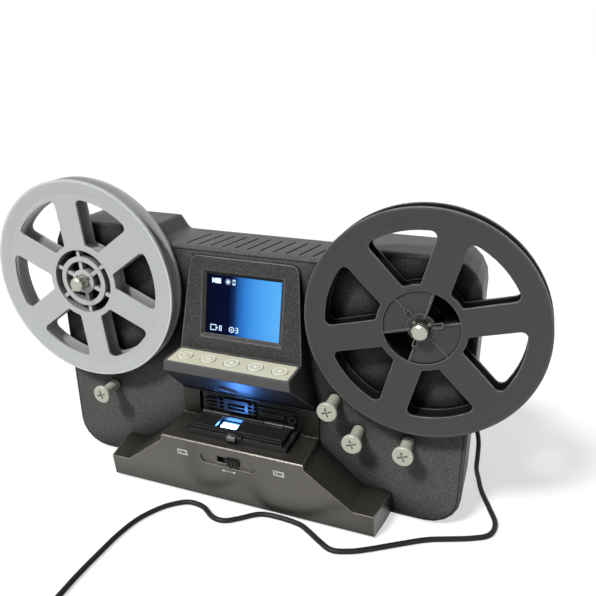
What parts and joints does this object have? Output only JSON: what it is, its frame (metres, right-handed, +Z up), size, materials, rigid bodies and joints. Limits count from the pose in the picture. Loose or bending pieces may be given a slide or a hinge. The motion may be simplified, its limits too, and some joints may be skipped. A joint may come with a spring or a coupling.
{
  "type": "film scanner",
  "caption": "Desktop film scanner with two spoked reels, guide rollers, a tilted screen over a key shelf, a hinged film gate and a power lead.",
  "frame": {"origin": "middle of the object's base, on the surface that its feet stand on, without the cord", "axes": "+X to the right across the front, +Y to the back, +Z up"},
  "size_m": [0.337, 0.2626, 0.1955],
  "materials": {
    "cover_speckle": "fine speckled texture, matt",
    "rear_plastic": "fine matt",
    "base_plastic": "satin",
    "bezel_plastic": "fine texture, satin",
    "gate_plastic": "satin black",
    "strip_finish": "satin beige",
    "key_finish": "satin beige",
    "screen_glass": "clear",
    "lcd": "lit blue screen",
    "board": "lacquered",
    "diffuser": "lit white",
    "lens": "coated",
    "grey_reel": "satin light grey",
    "black_reel": "satin black",
    "roller": "satin grey-green",
    "steel": "turned",
    "brass": "plain",
    "felt": "felt",
    "gear": "plain",
    "rubber": "matt",
    "black_moulding": "matt",
    "cord": "satin"
  },
  "bodies": {
    "scanner": {"front_cover": "cover_speckle", "rear_cover": "rear_plastic", "base_housing": "base_plastic", "base_plate": "rear_plastic", "feet": "rubber", "screws": "steel", "screen_housing": "bezel_plastic", "screen_window": "screen_glass", "lcd_module": "lcd", "button_strip": "strip_finish", "keypad_board": "board", "gate_plate": "gate_plastic", "hinge_pin": "steel", "film_track": "gate_plastic", "diffuser": "diffuser", "backlight_board": "board", "camera_barrel": "black_moulding", "camera_lens": "lens", "sensor_board": "board", "claw_motor": "steel", "select_switch": "black_moulding", "supply_felt": "felt", "spindle_bushes": "brass", "takeup_motor": "steel", "motor_bracket": "steel", "guide_pins": "steel", "main_board": "board", "jack_board": "board", "power_jack": "black_moulding", "card_socket": "steel", "cord_plug": "black_moulding", "cord_lead": "cord", "cord_coil": "cord", "far_plug": "black_moulding"},
    "supply_reel": {"supply_spindle": "steel", "supply_hub": "grey_reel", "supply_front_flange": "grey_reel", "supply_back_flange": "grey_reel", "supply_collar": "steel"},
    "takeup_reel": {"takeup_spindle": "steel", "takeup_hub": "black_reel", "takeup_front_flange": "black_reel", "takeup_back_flange": "black_reel", "takeup_gear": "gear"},
    "motor_pinion": {"motor_pinion": "gear"},
    "guide_roller_1": {"guide_roller_1": "roller"},
    "guide_roller_2": {"guide_roller_2": "roller"},
    "guide_roller_3": {"guide_roller_3": "roller"},
    "guide_roller_4": {"guide_roller_4": "roller"},
    "gate_door": {"gate_door": "gate_plastic"},
    "film_select_slider": {"film_select_slider": "black_moulding"},
    "button_1": {"button_1": "key_finish"},
    "button_2": {"button_2": "key_finish"},
    "button_3": {"button_3": "key_finish"},
    "button_4": {"button_4": "key_finish"},
    "button_5": {"button_5": "key_finish"},
    "film_claw": {"film_claw": "steel"},
    "claw_cam": {"claw_cam": "steel"}
  },
  "joints": [
    {"name": "supply_spin", "type": "hinge", "parent": "scanner", "child": "supply_reel", "pos_m": [-0.105, 0, 0.132], "axis": [0, 1, 0], "continuous": true},
    {"name": "takeup_spin", "type": "hinge", "parent": "scanner", "child": "takeup_reel", "pos_m": [0.105, 0, 0.132], "axis": [0, 1, 0], "continuous": true},
    {"name": "pinion_spin", "type": "hinge", "parent": "scanner", "child": "motor_pinion", "pos_m": [0.0826, 0, 0.132], "axis": [0, 1, 0], "continuous": true},
    {"name": "roller_1_spin", "type": "hinge", "parent": "scanner", "child": "guide_roller_1", "pos_m": [-0.099, -0.015, 0.055], "axis": [0, 1, 0], "continuous": true},
    {"name": "roller_2_spin", "type": "hinge", "parent": "scanner", "child": "guide_roller_2", "pos_m": [0.056, -0.015, 0.074], "axis": [0, 1, 0], "continuous": true},
    {"name": "roller_3_spin", "type": "hinge", "parent": "scanner", "child": "guide_roller_3", "pos_m": [0.071, -0.015, 0.056], "axis": [0, 1, 0], "continuous": true},
    {"name": "roller_4_spin", "type": "hinge", "parent": "scanner", "child": "guide_roller_4", "pos_m": [0.1005, -0.015, 0.055], "axis": [0, 1, 0], "continuous": true},
    {"name": "gate_door_hinge", "type": "hinge", "parent": "scanner", "child": "gate_door", "pos_m": [0, -0.0094, 0.0495], "axis": [-1, 0, 0], "range_deg": [0, 65]},
    {"name": "film_select_slide", "type": "slide", "parent": "scanner", "child": "film_select_slider", "axis": [-1, 0, 0], "range_m": [0, 0.006]},
    {"name": "button_1_press", "type": "slide", "parent": "scanner", "child": "button_1", "axis": [0, 0, -1], "range_m": [0, 0.0005], "stiffness_N_per_m": 200},
    {"name": "button_2_press", "type": "slide", "parent": "scanner", "child": "button_2", "axis": [0, 0, -1], "range_m": [0, 0.0005], "stiffness_N_per_m": 200},
    {"name": "button_3_press", "type": "slide", "parent": "scanner", "child": "button_3", "axis": [0, 0, -1], "range_m": [0, 0.0005], "stiffness_N_per_m": 200},
    {"name": "button_4_press", "type": "slide", "parent": "scanner", "child": "button_4", "axis": [0, 0, -1], "range_m": [0, 0.0005], "stiffness_N_per_m": 200},
    {"name": "button_5_press", "type": "slide", "parent": "scanner", "child": "button_5", "axis": [0, 0, -1], "range_m": [0, 0.0005], "stiffness_N_per_m": 200},
    {"name": "claw_slide", "type": "slide", "parent": "scanner", "child": "film_claw", "axis": [1, 0, 0], "range_m": [-0.0021, 0.0021]},
    {"name": "cam_spin", "type": "hinge", "parent": "scanner", "child": "claw_cam", "pos_m": [0.018, -0.01435, 0.038], "axis": [0, 0, 1], "continuous": true}
  ],
  "couplings": [
    {"joint": "pinion_spin", "follows": "takeup_spin", "ratio": -3}
  ]
}
